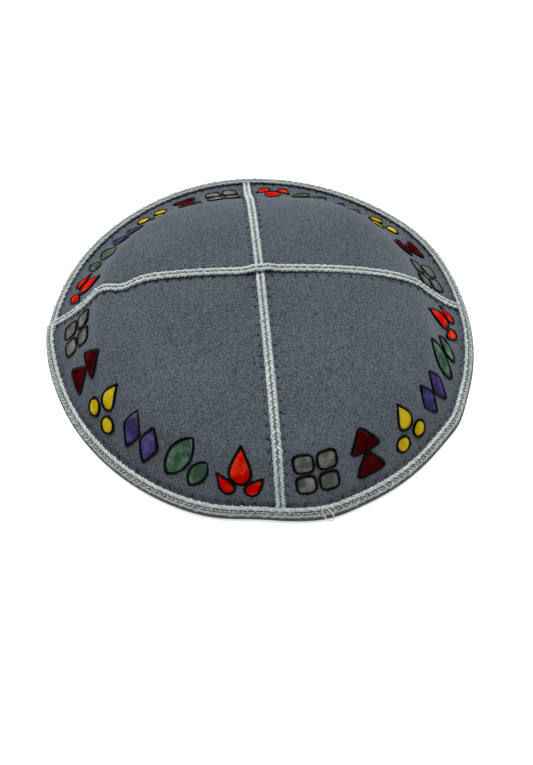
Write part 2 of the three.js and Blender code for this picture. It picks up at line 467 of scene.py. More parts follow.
@dataclass(frozen=True)
class SuedeFinish(Finish):
    """Napped suede: a fine grain of light and dark tufts over soft patches, with painted light towards the
    front edge.
    """

    name: str = "suede_nap"
    dark: Colour = (0.016, 0.020, 0.028)
    light: Colour = (0.147, 0.168, 0.199)
    tuft_scale: float = 1900.0
    tuft_roughness: float = 0.6
    tuft_range: Range = (0.34, 0.66)
    tuft_share: float = 0.80
    brush_scale: float = 420.0
    patch_scale: float = 38.0
    soft_range: Range = (0.3, 0.7)
    soft_share: float = 0.10
    brush_relief: float = 0.8
    nap_depth: float = 0.00016
    nap_strength: float = 0.9
    roughness: float = 0.95
    gloss: float = 0.12
    sheen: float = 0.18
    sheen_roughness: float = 0.45
    sheen_tint: Colour = (0.72, 0.78, 0.88)
    # Painted light towards the front edge: its strength, and the Y in metres where it is full and where it
    # ends.
    front_painted_light: float = 0.16
    front_full: float = -0.080
    front_end: float = -0.055

    def paint(self, maker: NodeMaker, shader: bpy.types.Node) -> None:
        """Adds the nap's colour, painted light towards the front edge, and its fine relief."""
        spot = maker.spot()
        tuft = maker.noise(spot, self.tuft_scale, roughness=self.tuft_roughness)
        brush = maker.noise(spot, self.brush_scale)
        patch = maker.noise(spot, self.patch_scale)
        tone = maker.stretch(tuft, *self.tuft_range, 0.0, self.tuft_share)
        for wide in (brush, patch):
            tone = maker.calc("ADD", tone, maker.stretch(wide, *self.soft_range, 0.0, self.soft_share))
        # Painted light: the suede is lightened towards the front edge (negative Y), against the shade the
        # light leaves there.
        depth = maker.add("ShaderNodeSeparateXYZ", {"Vector": spot}).outputs["Y"]
        lift = maker.stretch(depth, self.front_full, self.front_end, self.front_painted_light, 0.0)
        tone = maker.calc("ADD", tone, lift)
        colour = maker.mixed(tone, solid_colour(self.dark), solid_colour(self.light))
        maker.feed(shader.inputs["Base Color"], colour)
        height = maker.calc("ADD", tuft, maker.calc("MULTIPLY", brush, self.brush_relief))
        maker.relief(shader, height, self.nap_depth, self.nap_strength)
        shader.inputs["Roughness"].default_value = self.roughness
        shader.inputs["Specular IOR Level"].default_value = self.gloss
        shader.inputs["Sheen Weight"].default_value = self.sheen
        shader.inputs["Sheen Roughness"].default_value = self.sheen_roughness
        shader.inputs["Sheen Tint"].default_value = solid_colour(self.sheen_tint)


@dataclass(frozen=True)
class BraidFinish(Finish):
    """Shiny silk-like strands, each a bundle of fine filaments, over a core painted dark as shade between
    them.
    """

    name: str = "braid_silk"
    core: Colour = (0.060, 0.082, 0.077)
    core_light: Colour = (0.260, 0.322, 0.306)
    core_scale: float = 1500.0
    shade: Colour = (0.300, 0.362, 0.350)
    light: Colour = (0.740, 0.810, 0.795)
    core_range: Range = (0.35, 0.65)
    core_edge: float = 0.5
    filaments: float = 14.0
    filament_share: float = 0.3
    filament_depth: float = 0.00003
    filament_strength: float = 0.6
    mottle_scale: float = 520.0
    mottle_range: Range = (0.25, 0.75)
    mottle_tones: Range = (0.15, 0.8)
    roughness: float = 0.36
    gloss: float = 0.6

    def paint(self, maker: NodeMaker, shader: bpy.types.Node) -> None:
        """Adds the strands' colour and the filaments' relief."""
        spot = maker.spot()
        mottle = maker.noise(spot, self.mottle_scale)
        across = maker.add("ShaderNodeAttribute", attribute_name="strand_spot").outputs["Vector"]
        sides = maker.add("ShaderNodeSeparateXYZ", {"Vector": across})
        ripple = maker.calc("SINE", maker.calc("MULTIPLY", sides.outputs["X"], self.filaments))
        streak = maker.stretch(ripple, -1.0, 1.0, 0.0, self.filament_share)
        tone = maker.calc("ADD", maker.stretch(mottle, *self.mottle_range, *self.mottle_tones), streak)
        colour = maker.mixed(tone, solid_colour(self.shade), solid_colour(self.light))
        # Painted shade: the core, seen in the gaps between the strands, takes far darker colours than the
        # strands.
        spread = maker.add("ShaderNodeVectorMath", {"Vector": across}, operation="LENGTH").outputs["Value"]
        fleck = maker.stretch(maker.noise(spot, self.core_scale), *self.core_range)
        core = maker.mixed(fleck, solid_colour(self.core), solid_colour(self.core_light))
        colour = maker.mixed(maker.stretch(spread, 0.0, self.core_edge), core, colour)
        # Painted shade: the strands darken near the floor.
        maker.feed(shader.inputs["Base Color"], maker.floor_shade(spot, colour))
        maker.relief(shader, ripple, self.filament_depth, self.filament_strength)
        shader.inputs["Roughness"].default_value = self.roughness
        shader.inputs["Specular IOR Level"].default_value = self.gloss


@dataclass(frozen=True)
class TapeFinish(Finish):
    """Woven ground of the hem binding, with fine ribs round the fold."""

    name: str = "braid_tape"
    shade: Colour = (0.030, 0.038, 0.036)
    light: Colour = (0.120, 0.150, 0.143)
    rib_scale: float = 1500.0
    rib_share: float = 0.6
    wear_scale: float = 150.0
    wear_share: float = 0.4
    grain_range: Range = (0.3, 0.7)
    rib_depth: float = 0.00012
    rib_strength: float = 0.8
    roughness: float = 0.6

    def paint(self, maker: NodeMaker, shader: bpy.types.Node) -> None:
        """Adds the ribs' colour and relief."""
        spot = maker.spot()
        rib = maker.noise(spot, self.rib_scale)
        wear = maker.noise(spot, self.wear_scale)
        ribs = maker.stretch(rib, *self.grain_range, 0.0, self.rib_share)
        tone = maker.calc("ADD", ribs, maker.stretch(wear, *self.grain_range, 0.0, self.wear_share))
        colour = maker.mixed(tone, solid_colour(self.shade), solid_colour(self.light))
        # Painted shade: the tape darkens near the floor.
        maker.feed(shader.inputs["Base Color"], maker.floor_shade(spot, colour))
        maker.relief(shader, rib, self.rib_depth, self.rib_strength)
        shader.inputs["Roughness"].default_value = self.roughness


@dataclass(frozen=True)
class PaintFinish(Finish):
    """Puffy paint, brushed on unevenly, with lighter streaks that are partly painted highlights."""

    name: str
    colour: Colour
    streak: Colour
    roughness: float = 0.28
    gloss: float = 0.0
    streak_scale: float = 210.0
    streak_detail: float = 3.0
    streak_roughness: float = 0.6
    streak_range: Range = (0.42, 0.72)
    ripple_scale: float = 462.0
    ripple_depth: float = 0.0002
    ripple_strength: float = 0.5

    def paint(self, maker: NodeMaker, shader: bpy.types.Node) -> None:
        """Adds the brush streaks, partly painted highlights, and the skin's ripples."""
        spot = maker.spot()
        # Painted highlight in part: the streak colour is lighter than the paint and takes the place of its
        # gloss, which is off.
        sweep = maker.noise(spot, self.streak_scale, self.streak_detail, self.streak_roughness)
        share = maker.stretch(sweep, *self.streak_range)
        colour = maker.mixed(share, solid_colour(self.colour), solid_colour(self.streak))
        maker.feed(shader.inputs["Base Color"], colour)
        ripple = maker.noise(spot, self.ripple_scale)
        maker.relief(shader, ripple, self.ripple_depth, self.ripple_strength)
        shader.inputs["Roughness"].default_value = self.roughness
        shader.inputs["Specular IOR Level"].default_value = self.gloss


@dataclass(frozen=True)
class ThreadFinish(Finish):
    """Sewing thread, with a little fuzz in its colour."""

    name: str
    colour: Colour
    fuzz: Colour
    roughness: float = 0.6
    fuzz_scale: float = 2500.0
    fuzz_range: Range = (0.3, 0.7)

    def paint(self, maker: NodeMaker, shader: bpy.types.Node) -> None:
        """Adds the thread's uneven colour."""
        share = maker.stretch(maker.noise(maker.spot(), self.fuzz_scale), *self.fuzz_range)
        colour = maker.mixed(share, solid_colour(self.colour), solid_colour(self.fuzz))
        maker.feed(shader.inputs["Base Color"], colour)
        shader.inputs["Roughness"].default_value = self.roughness


SUEDE = SuedeFinish()
BRAID = BraidFinish()
TAPE = TapeFinish()
# Near-black stitch thread: painted shade standing in for the shadowed needle holes of a clear thread.
HOLE_SHADE_THREAD = ThreadFinish("hole_shade_thread", (0.002, 0.003, 0.004), fuzz=(0.010, 0.012, 0.015), roughness=0.9)
PALE_THREAD = ThreadFinish("pale_thread", (0.34, 0.40, 0.385), fuzz=(0.54, 0.60, 0.585), roughness=0.4)
CLEAR_THREAD = ThreadFinish("loose_thread", (0.60, 0.60, 0.60), fuzz=(0.75, 0.76, 0.76), roughness=0.3)


def join_mesh(name: str, points: Array, faces: Faces, finish: Finish) -> bpy.types.Object:
    """Makes a smooth mesh object in the row frame.

    Args:
        name: Name of the piece.
        points: Corners in millimetres.
        faces: Corner numbers of each face.
        finish: Finish that the piece wears.

    Returns:
        The new object.
    """
    mesh = bpy.data.meshes.new(name)
    mesh.from_pydata((np.asarray(points) * MM).tolist(), [], faces)
    work = bmesh.new()
    work.from_mesh(mesh)
    bmesh.ops.remove_doubles(work, verts=work.verts, dist=WELD_DISTANCE)
    bmesh.ops.dissolve_degenerate(work, edges=work.edges, dist=SLIVER_EDGE)
    work.to_mesh(mesh)
    work.free()
    mesh.polygons.foreach_set("use_smooth", [True] * len(mesh.polygons))
    mesh.materials.append(finish.material())
    piece = bpy.data.objects.new(name, mesh)
    bpy.context.collection.objects.link(piece)
    return piece


def strip_faces(upper: Array, lower: Array) -> Faces:
    """Joins two rows of corner numbers with quads.

    Args:
        upper: Corner numbers of the first row.
        lower: Corner numbers of the second row.

    Returns:
        The quads, facing out where the rows run to the left as seen from outside.
    """
    corners = (upper[:-1], lower[:-1], lower[1:], upper[1:])
    return list(zip(*(corner.tolist() for corner in corners)))


def wall_faces(rows: int, columns: int) -> Faces:
    """Gives the faces of a wall with an outer and an inner grid and four edges.

    Args:
        rows: Rows of each grid.
        columns: Columns of each grid.

    Returns:
        Quads of the closed wall; the outer grid's corners come first.
    """
    outer = np.arange(rows * columns).reshape(rows, columns)
    inner = outer + rows * columns
    faces = []
    for row in range(rows - 1):
        faces += strip_faces(outer[row], outer[row + 1])
        faces += strip_faces(inner[row + 1], inner[row])
    faces += strip_faces(outer[-1], inner[-1])
    faces += strip_faces(inner[0], outer[0])
    faces += strip_faces(outer[:, 0], inner[:, 0])
    faces += strip_faces(inner[:, -1], outer[:, -1])
    return faces


def ring_faces(rings: int, corners: int) -> Faces:
    """Gives the faces of a tube that runs round to its start."""
    numbers = np.arange(rings * corners).reshape(rings, corners)
    numbers = np.concatenate((numbers, numbers[:, :1]), axis=1)
    numbers = np.concatenate((numbers, numbers[:1]), axis=0)
    return [face for ring in range(rings) for face in strip_faces(numbers[ring], numbers[ring + 1])]


def settle(
    piece: bpy.types.Object, node: Optional[str] = None
) -> bpy.types.Object:
    """Puts a finished piece on the cap's body and reports it.

    Args:
        piece: The finished piece.
        node: CAD node that it stands for.

    Returns:
        The same piece.
    """
    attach(piece, ROOT)
    if node:
        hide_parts(node)
    LOG.info("%s: %d faces", piece.name, len(piece.data.polygons))
    return piece


class Seam(Enum):
    """The four seams, each with the bearing where it meets the hem."""

    RIGHT = 0.8
    BACK = 91.4
    LEFT = 179.1
    FRONT = 269.6


@dataclass(frozen=True)
class SeamLine:
    """Two seams in one line, from one hem over the crown to the opposite hem."""

    name: str
    first: Seam
    second: Seam
    passes_over: bool
    under_hem: float = 0.3
    pressed_share: float = 0.65
    braid_height: float = 1.5
    flat_radius: float = 2.4
    ramp_radius: float = 7.5
    jog: float = 1.2
    jog_radius: float = 4.5
    points: int = 161

    def halves(self) -> tuple[Array, Array]:
        """Gives bearing and along of the seam's points from hem to hem."""
        ends = (seam.value for seam in (self.first, self.second))
        lasts = (CAP.along_from_edge(end, RIM.reach_at(end) - self.under_hem) for end in ends)
        near, far = (np.linspace(0.0, last, self.points) for last in lasts)
        bearing = np.repeat((self.first.value, self.second.value), (self.points, self.points - 1))
        return bearing, np.concatenate((near[::-1], far[1:]))

    def side(self) -> Array:
        """Gives the level direction across the seam."""
        bow = (self.second.value - self.first.value) % 360.0 - 180.0
        across = math.radians(self.first.value + bow / 2 + 90)
        return np.array((math.cos(across), math.sin(across), 0.0))

    def path(self) -> tuple[Array, Array, Array]:
        """Works out the line that the braid lies on.

        Returns:
            Points, outward directions and the braid's fullness along the seam.
        """
        bearing, along = self.halves()
        points = CAP.point(bearing, along)
        up = CAP.normal(bearing, along)
        up[along == 0.0] = (0.0, 0.0, 1.0)
        radius = CAP.from_crown(points)
        crossing = 1.0 - ease(radius, self.flat_radius, self.ramp_radius)
        if not self.passes_over:
            return points, up, 1.0 - (1.0 - self.pressed_share) * crossing
        way = np.where(bearing == self.first.value, 0.5, -0.5)
        step = way * self.jog * ease(radius, 0.0, self.jog_radius) * (1.0 - along)
        lift = self.braid_height * self.pressed_share * crossing
        return points + step[:, None] * self.side() + lift[:, None] * up, up, np.ones(len(points))

    def beside(self, offset: float, first: float, last: float) -> list[tuple[Array, Array]]:
        """Gives lines on the suede beside the seam, one for each half.

        Args:
            offset: Distance from the seam, to its left where positive.
            first: Distance from the crown where the lines start.
            last: Distance from the edge where they end.

        Returns:
            Points and outward directions of each line.
        """
        lines = []
        for seam, way in ((self.first, -1), (self.second, 1)):
            bearing = seam.value
            span = arc_lengths(CAP.point(bearing, np.linspace(0, 1, CAP.wall_steps)))[-1]
            along = CAP.along_from_edge(bearing, np.linspace(span - first, last, self.points))
            radius = CAP.from_crown(CAP.point(bearing, along))
            shifted = bearing + np.degrees(np.arctan2(offset * way, radius))
            lines.append((CAP.point(shifted, along), CAP.normal(shifted, along)))
        return lines


SEAMS = (
    SeamLine("front_back", Seam.FRONT, Seam.BACK, passes_over=False),
    SeamLine("left_right", Seam.LEFT, Seam.RIGHT, passes_over=True),
)


@dataclass(frozen=True)
class RimLine:
    """The hem's own frame all round: where the edge is, which way is down and which is out."""

    reach: float = 3.2
    front_reach: float = 0.5

    def reach_at(self, bearing: Array) -> Array:
        """Gives how far the hem reaches up the wall at each bearing."""
        return self.reach - self.front_reach * np.sin(np.radians(bearing))

    def axes(self, bearing: Array) -> tuple[Array, Array, Array]:
        """Works out the hem's frame.

        Args:
            bearing: Degrees from +X towards +Y.

        Returns:
            Middle of the gore's edge, direction down the slope, direction out of the wall.
        """
        edge = CAP.point(bearing, 1.0)
        lips = np.array([CAP.along_from_edge(value, self.reach_at(value)) for value in bearing])
        down = unit(edge - CAP.point(bearing, lips))
        out = unit(np.cross(down, CAP.round_step(bearing, np.ones_like(bearing))))
        return edge - 0.5 * CAP.thickness * out, down, out

    def line(self, bearing: Array, down: Array, out: Array) -> tuple[Array, Array, Array]:
        """Gives a line in the hem's frame.

        Args:
            bearing: Degrees from +X towards +Y.
            down: Distance down the slope from the edge.
            out: Distance out of the wall.

        Returns:
            Points, directions down the slope and directions out of the wall.
        """
        middle, slope, away = self.axes(bearing)
        shift_down = np.broadcast_to(down, bearing.shape)[:, None]
        shift_out = np.broadcast_to(out, bearing.shape)[:, None]
        return middle + shift_down * slope + shift_out * away, slope, away


RIM = RimLine()


@dataclass(frozen=True)
class GuideLine:
    """A line that strands or stitches follow, with the directions at each of its points."""

    points: Array
    up: Array
    side: Array
    fullness: Array

    @classmethod
    def full(cls, points: Array, up: Array, side: Array) -> "GuideLine":
        """Makes a line with nothing pressed flat along it."""
        return cls(points, up, np.broadcast_to(side, points.shape), np.ones(len(points)))


def guide_object(name: str, lines: Sequence[GuideLine]) -> bpy.types.Object:
    """Makes a mesh of bare edges for a Geometry Nodes tree to follow.

    Args:
        name: Name of the piece that the tree makes.
        lines: The lines to follow.

    Returns:
        The new object, with the lines' directions as attributes.
    """
    edges = []
    first = 0
    for line in lines:
        edges += [(first + step, first + step + 1) for step in range(len(line.points) - 1)]
        first += len(line.points)
    mesh = bpy.data.meshes.new(name)
    mesh.from_pydata((np.concatenate([line.points for line in lines]) * MM).tolist(), edges, [])
    for label in ("up", "side"):
        layer = mesh.attributes.new(f"line_{label}", "FLOAT_VECTOR", "POINT")
        values = np.concatenate([getattr(line, label) for line in lines])
        layer.data.foreach_set("vector", values.astype(np.float32).ravel())
    layer = mesh.attributes.new("line_fullness", "FLOAT", "POINT")
    fullness = np.concatenate([line.fullness for line in lines])
    layer.data.foreach_set("value", fullness.astype(np.float32))
    guide = bpy.data.objects.new(name, mesh)
    bpy.context.collection.objects.link(guide)
    return guide


class SizeKind(Enum):
    """Kinds of input that a tree takes."""

    NUMBER = "NodeSocketFloat"
    COUNT = "NodeSocketInt"
    FINISH = "NodeSocketMaterial"


class GeometryTree:
    """A Geometry Nodes tree that follows guide lines and makes one plain mesh."""

    def __init__(self, name: str, sizes: dict[str, SizeKind]) -> None:
        """Starts the tree.

        Args:
            name: Name of the tree.
            sizes: Kind of each named input, beside the guide, the seed and the finish.
        """
        self.tree = bpy.data.node_groups.new(name, "GeometryNodeTree")
        self.maker = NodeMaker(self.tree)
        self.tree.interface.new_socket("Guide", in_out="INPUT", socket_type="NodeSocketGeometry")
        common = {"Seed": SizeKind.COUNT, "Finish": SizeKind.FINISH}
        for label, kind in {**sizes, **common}.items():
            self.tree.interface.new_socket(label, in_out="INPUT", socket_type=kind.value)
        self.tree.interface.new_socket("Mesh", in_out="OUTPUT", socket_type="NodeSocketGeometry")
        self.sizes = self.maker.add("NodeGroupInput").outputs

    def attribute(self, name: str, kind: str = "FLOAT_VECTOR") -> bpy.types.NodeSocket:
        """Reads one of the guide's attributes."""
        node = self.maker.add("GeometryNodeInputNamedAttribute", {"Name": name}, data_type=kind)
        return node.outputs["Attribute"]

    def chance(self, low: Any, high: Any, salt: int) -> bpy.types.NodeSocket:
        """Gives a random number for each repeat.

        Args:
            low: Lowest value.
            high: Highest value.
            salt: Keeps one use apart from the next.

        Returns:
            The number's socket.
        """
        seed = self.maker.calc("ADD", self.sizes["Seed"], float(salt))
        inputs = {"Min_001": low, "Max_001": high, "Seed": seed}
        return self.maker.add("FunctionNodeRandomValue", inputs, data_type="FLOAT").outputs[1]

    def facing(self, turn: Any) -> bpy.types.NodeSocket:
        """Turns each repeat to run along its line and stand up from the suede.

        Args:
            turn: Extra turn about the upward direction.

        Returns:
            The rotation's socket.
        """
        tangent = self.maker.add("GeometryNodeInputTangent").outputs["Tangent"]
        inputs = {"Vector": tangent}
        run = self.maker.add("FunctionNodeAlignRotationToVector", inputs, axis="X").outputs["Rotation"]
        inputs = {"Rotation": run, "Vector": self.attribute("line_up")}
        stand = self.maker.add("FunctionNodeAlignRotationToVector", inputs, axis="Z", pivot_axis="X")
        spin = self.maker.add("ShaderNodeCombineXYZ", {"Z": turn}).outputs["Vector"]
        twist = self.maker.add("FunctionNodeEulerToRotation", {"Euler": spin}).outputs["Rotation"]
        inputs = {"Rotation": stand.outputs["Rotation"], "Rotate By": twist}
        turned = self.maker.add("FunctionNodeRotateRotation", inputs, rotation_space="LOCAL")
        return turned.outputs["Rotation"]

    def thread(self, curve: Any, radius: Any, sides: int, end_share: float) -> bpy.types.NodeSocket:
        """Gives a curve the thickness of a thread that thins at both ends.

        Args:
            curve: The curve to thicken.
            radius: Radius at the middle.
            sides: Sides of the thread's section.
            end_share: Share of the radius left at the ends.

        Returns:
            The thread's mesh.
        """
        circle = self.maker.add("GeometryNodeCurvePrimitiveCircle", {"Resolution": sides, "Radius": 1.0})
        place = self.maker.add("GeometryNodeInputPosition").outputs["Position"]
        inputs = {"Geometry": circle.outputs["Curve"], "Name": "strand_spot", "Value": place}
        settings = {"data_type": "FLOAT_VECTOR", "domain": "POINT"}
        marked = self.maker.add("GeometryNodeStoreNamedAttribute", inputs, **settings)
        factor = self.maker.add("GeometryNodeSplineParameter").outputs["Factor"]
        bulge = self.maker.calc("SINE", self.maker.calc("MULTIPLY", factor, math.pi))
        share = self.maker.calc("MULTIPLY_ADD", bulge, 1.0 - end_share, end_share)
        inputs = {
            "Curve": curve,
            "Profile Curve": marked.outputs["Geometry"],
            "Scale": self.maker.calc("MULTIPLY", share, radius),
            "Fill Caps": True,
        }
        return self.maker.add("GeometryNodeCurveToMesh", inputs).outputs["Mesh"]

    def close(self, pieces: Sequence[Any]) -> None:
        """Ends the tree: real meshes, kept above the floor, smooth and dressed.

        Args:
            pieces: The meshes and instances to join.
        """
        joined = self.maker.add("GeometryNodeJoinGeometry")
        for piece in reversed(pieces):
            self.tree.links.new(piece, joined.inputs["Geometry"])
        real = self.maker.add("GeometryNodeRealizeInstances", {"Geometry": joined.outputs["Geometry"]})
        place = self.maker.add("GeometryNodeInputPosition").outputs["Position"]
        parts = self.maker.add("ShaderNodeSeparateXYZ", {"Vector": place}).outputs
        height = self.maker.calc("MAXIMUM", parts["Z"], 0.0)
        inputs = {"X": parts["X"], "Y": parts["Y"], "Z": height}
        pressed = self.maker.add("ShaderNodeCombineXYZ", inputs).outputs["Vector"]
        inputs = {"Geometry": real.outputs["Geometry"], "Position": pressed}
        rested = self.maker.add("GeometryNodeSetPosition", inputs)
        smooth = self.maker.add("GeometryNodeSetShadeSmooth", {"Geometry": rested.outputs["Geometry"]})
        inputs = {"Geometry": smooth.outputs["Geometry"], "Material": self.sizes["Finish"]}
        dressed = self.maker.add("GeometryNodeSetMaterial", inputs)
        self.maker.add("NodeGroupOutput", {"Mesh": dressed.outputs["Geometry"]})

    def run(self, guide: bpy.types.Object, values: dict[str, Any]) -> bpy.types.Object:
        """Runs the tree on a guide, which becomes the plain mesh it makes.

        Args:
            guide: The guide's object.
            values: Value of each named input.

        Returns:
            The same object with its finished mesh.
        """
        modifier = guide.modifiers.new(self.tree.name, "NODES")
        modifier.node_group = self.tree
        for item in self.tree.interface.items_tree:
            if item.in_out == "INPUT" and item.name in values:
                modifier[item.identifier] = values[item.name]
        graph = bpy.context.evaluated_depsgraph_get()
        shown = guide.evaluated_get(graph)
        made = bpy.data.meshes.new_from_object(shown, preserve_all_data_layers=True, depsgraph=graph)
        guide.modifiers.remove(modifier)
        guide.data = made
        for label in ("line_up", "line_side", "line_fullness"):
            if label in made.attributes:
                made.attributes.remove(made.attributes[label])
        return guide


class BraidTree(GeometryTree):
    """Two columns of slanting strands that lean towards each other along a line."""

    SIDES = 7
    SPIRAL_STEPS = 17
    CORE_SIDES = 8
    CORE_SHARE = 0.62
    STAGGER = 0.25
    END_SHARE = 0.55

    def __init__(self) -> None:
        """Builds the tree."""
        labels = (
            "Column offset", "Column height", "Turn radius", "Strand radius", "Core radius",
            "Strand pitch", "Strand lean", "Beat", "Wobble",
        )
        super().__init__("braid_columns", {label: SizeKind.NUMBER for label in labels})
        self.close([part for way in (-1.0, 1.0) for part in self.column(way)])

    def column(self, way: float) -> list[bpy.types.NodeSocket]:
        """Builds one column.

        Args:
            way: Side of the line, -1 or 1.

        Returns:
            The column's core and its strands.
        """
        maker, sizes = self.maker, self.sizes
        up, side = self.attribute("line_up"), self.attribute("line_side")
        fullness = self.attribute("line_fullness", "FLOAT")
        line = maker.add("GeometryNodeMeshToCurve", {"Mesh": sizes["Guide"]}).outputs["Curve"]
        across = maker.scaled(side, maker.calc("MULTIPLY", sizes["Column offset"], way))
        rise = maker.scaled(up, maker.calc("MULTIPLY", sizes["Column height"], fullness))
        inputs = {"Geometry": line, "Offset": maker.summed(maker.scaled(across, self.CORE_SHARE), rise)}
        inner = maker.add("GeometryNodeSetPosition", inputs).outputs["Geometry"]
        inputs = {"Geometry": line, "Offset": maker.summed(across, rise)}
        line = maker.add("GeometryNodeSetPosition", inputs).outputs["Geometry"]
        inputs = {"Resolution": self.CORE_SIDES, "Radius": sizes["Core radius"]}
        circle = maker.add("GeometryNodeCurvePrimitiveCircle", inputs).outputs["Curve"]
        inputs = {"Curve": inner, "Profile Curve": circle, "Scale": fullness, "Fill Caps": True}
        core = maker.add("GeometryNodeCurveToMesh", inputs).outputs["Mesh"]
        inputs = {"Curve": line, "Length": sizes["Strand pitch"]}
        spots = maker.add("GeometryNodeResampleCurve", inputs, mode="LENGTH").outputs["Curve"]
        tangent = maker.add("GeometryNodeInputTangent").outputs["Tangent"]
        step = maker.scaled(tangent, maker.calc("MULTIPLY", sizes["Strand pitch"], self.STAGGER * way))
        spots = maker.add("GeometryNodeSetPosition", {"Geometry": spots, "Offset": step}).outputs["Geometry"]
        wobble = sizes["Wobble"]
        turn = self.chance(maker.calc("MULTIPLY", wobble, -1.0), wobble, 1)
        swell = self.chance(maker.calc("SUBTRACT", 1.0, wobble), maker.calc("ADD", 1.0, wobble), 2)
        odd = maker.calc("MODULO", maker.add("GeometryNodeInputIndex").outputs["Index"], 2.0)
        fall = maker.calc("MULTIPLY", sizes["Beat"], -2.0)
        beat = maker.calc("MULTIPLY_ADD", odd, fall, maker.calc("ADD", sizes["Beat"], 1.0))
        swell = maker.calc("MULTIPLY", swell, beat)
        inputs = {
            "Points": spots,
            "Instance": self.strand(way),
            "Rotation": self.facing(turn),
            "Scale": maker.add(
                "ShaderNodeCombineXYZ",
                {"X": beat, "Y": swell, "Z": maker.calc("MULTIPLY", swell, fullness)},
            ).outputs["Vector"],
        }
        return [core, maker.add("GeometryNodeInstanceOnPoints", inputs).outputs["Instances"]]

    def strand(self, way: float) -> bpy.types.NodeSocket:
        """Builds one strand, half a turn over the column's top.

        Args:
            way: Direction that the strand leans in, -1 or 1.

        Returns:
            The strand's mesh, with X along the column and Z up.
        """
        maker, sizes = self.maker, self.sizes
        lean = maker.calc("MULTIPLY", sizes["Strand lean"], -way)
        inputs = {
            "Resolution": self.SPIRAL_STEPS,
            "Rotations": 0.5,
            "Start Radius": sizes["Turn radius"],
            "End Radius": sizes["Turn radius"],
            "Height": lean,
            "Reverse": True,
        }
        spiral = maker.add("GeometryNodeCurveSpiral", inputs).outputs["Curve"]
        back = maker.add("ShaderNodeCombineXYZ", {"X": maker.calc("MULTIPLY", lean, -0.5)}).outputs["Vector"]
        quarter = math.pi / 2
        inputs = {"Geometry": spiral, "Translation": back, "Rotation": (quarter, 0.0, quarter)}
        laid = maker.add("GeometryNodeTransform", inputs).outputs["Geometry"]
        return self.thread(laid, sizes["Strand radius"], self.SIDES, end_share=self.END_SHARE)


class StitchTree(GeometryTree):
    """Short stitches at even places along lines."""

    SIDES = 6
    STEPS = 5
    END_SHARE = 0.6

    def __init__(self) -> None:
        """Builds the tree."""
        labels = ("Stitch length", "Thread radius", "Rise", "Sink", "Turn", "Wobble")
        kinds = {label: SizeKind.NUMBER for label in labels}
        super().__init__("stitch_row", {"Count": SizeKind.COUNT, **kinds})
        maker, sizes = self.maker, self.sizes
        line = maker.add("GeometryNodeMeshToCurve", {"Mesh": sizes["Guide"]}).outputs["Curve"]
        inputs = {"Curve": line, "Count": sizes["Count"]}
        spots = maker.add("GeometryNodeResampleCurve", inputs, mode="COUNT").outputs["Curve"]
        half = maker.calc("MULTIPLY", sizes["Stitch length"], 0.5)
        foot = maker.calc("MULTIPLY", sizes["Sink"], -1.0)
        feet = [{"X": maker.calc("MULTIPLY", half, way), "Z": foot} for way in (-1.0, 1.0)]
        ends = [maker.add("ShaderNodeCombineXYZ", inputs).outputs["Vector"] for inputs in feet]
        top = maker.add("ShaderNodeCombineXYZ", {"Z": sizes["Rise"]}).outputs["Vector"]
        inputs = {"Resolution": self.STEPS, "Start": ends[0], "Middle": top, "End": ends[1]}
        arch = maker.add("GeometryNodeCurveQuadraticBezier", inputs).outputs["Curve"]
        wobble = sizes["Wobble"]
        stray = self.chance(maker.calc("MULTIPLY", wobble, -1.0), wobble, 3)
        size = self.chance(maker.calc("SUBTRACT", 1.0, wobble), maker.calc("ADD", 1.0, wobble), 4)
        inputs = {
            "Points": spots,
            "Instance": self.thread(arch, sizes["Thread radius"], self.SIDES, end_share=self.END_SHARE),
            "Rotation": self.facing(maker.calc("ADD", sizes["Turn"], stray)),
            "Scale": maker.add("ShaderNodeCombineXYZ", {"X": size, "Y": 1.0, "Z": 1.0}).outputs["Vector"],
        }
        self.close([maker.add("GeometryNodeInstanceOnPoints", inputs).outputs["Instances"]])


@dataclass(frozen=True)
class BraidSizes:
    """Sizes of a two-column braid."""

    column_offset: float
    column_height: float
    turn_radius: float
    strand_radius: float
    core_radius: float
    strand_pitch: float
    strand_lean: float
    beat: float = 0.07
    wobble: float = 0.1

    def values(self, seed: int) -> dict[str, Any]:
        """Gives the braid tree's inputs in metres."""
        lengths = (
            "column_offset", "column_height", "turn_radius", "strand_radius", "core_radius",
            "strand_pitch", "strand_lean",
        )
        sizes = {name.replace("_", " ").capitalize(): getattr(self, name) * MM for name in lengths}
        shares = {"Beat": self.beat, "Wobble": self.wobble}
        return {**sizes, **shares, "Seed": seed, "Finish": BRAID.material()}


@dataclass(frozen=True)
class StitchSizes:
    """Sizes of a row of stitches."""

    length: float
    radius: float
    rise: float
    sink: float
    turn: float
    finish: Finish
    wobble: float = 0.25

    def values(self, count: int, seed: int) -> dict[str, Any]:
        """Gives the stitch tree's inputs in metres and radians."""
        return {
            "Count": count,
            "Stitch length": self.length * MM,
            "Thread radius": self.radius * MM,
            "Rise": self.rise * MM,
            "Sink": self.sink * MM,
            "Turn": math.radians(self.turn),
            "Wobble": self.wobble,
            "Seed": seed,
            "Finish": self.finish.material(),
        }


def join_pieces(name: str, pieces: Sequence[bpy.types.Object]) -> bpy.types.Object:
    """Joins plain meshes into the first one.

    Args:
        name: Name of the joined piece.
        pieces: Pieces with the same finish.

    Returns:
        The joined piece.
    """
    work = bmesh.new()
    for piece in pieces:
        work.from_mesh(piece.data)
    first = pieces[0]
    work.to_mesh(first.data)
    work.free()
    first.name = name
    for piece in pieces[1:]:
        bpy.data.objects.remove(piece)
    return first


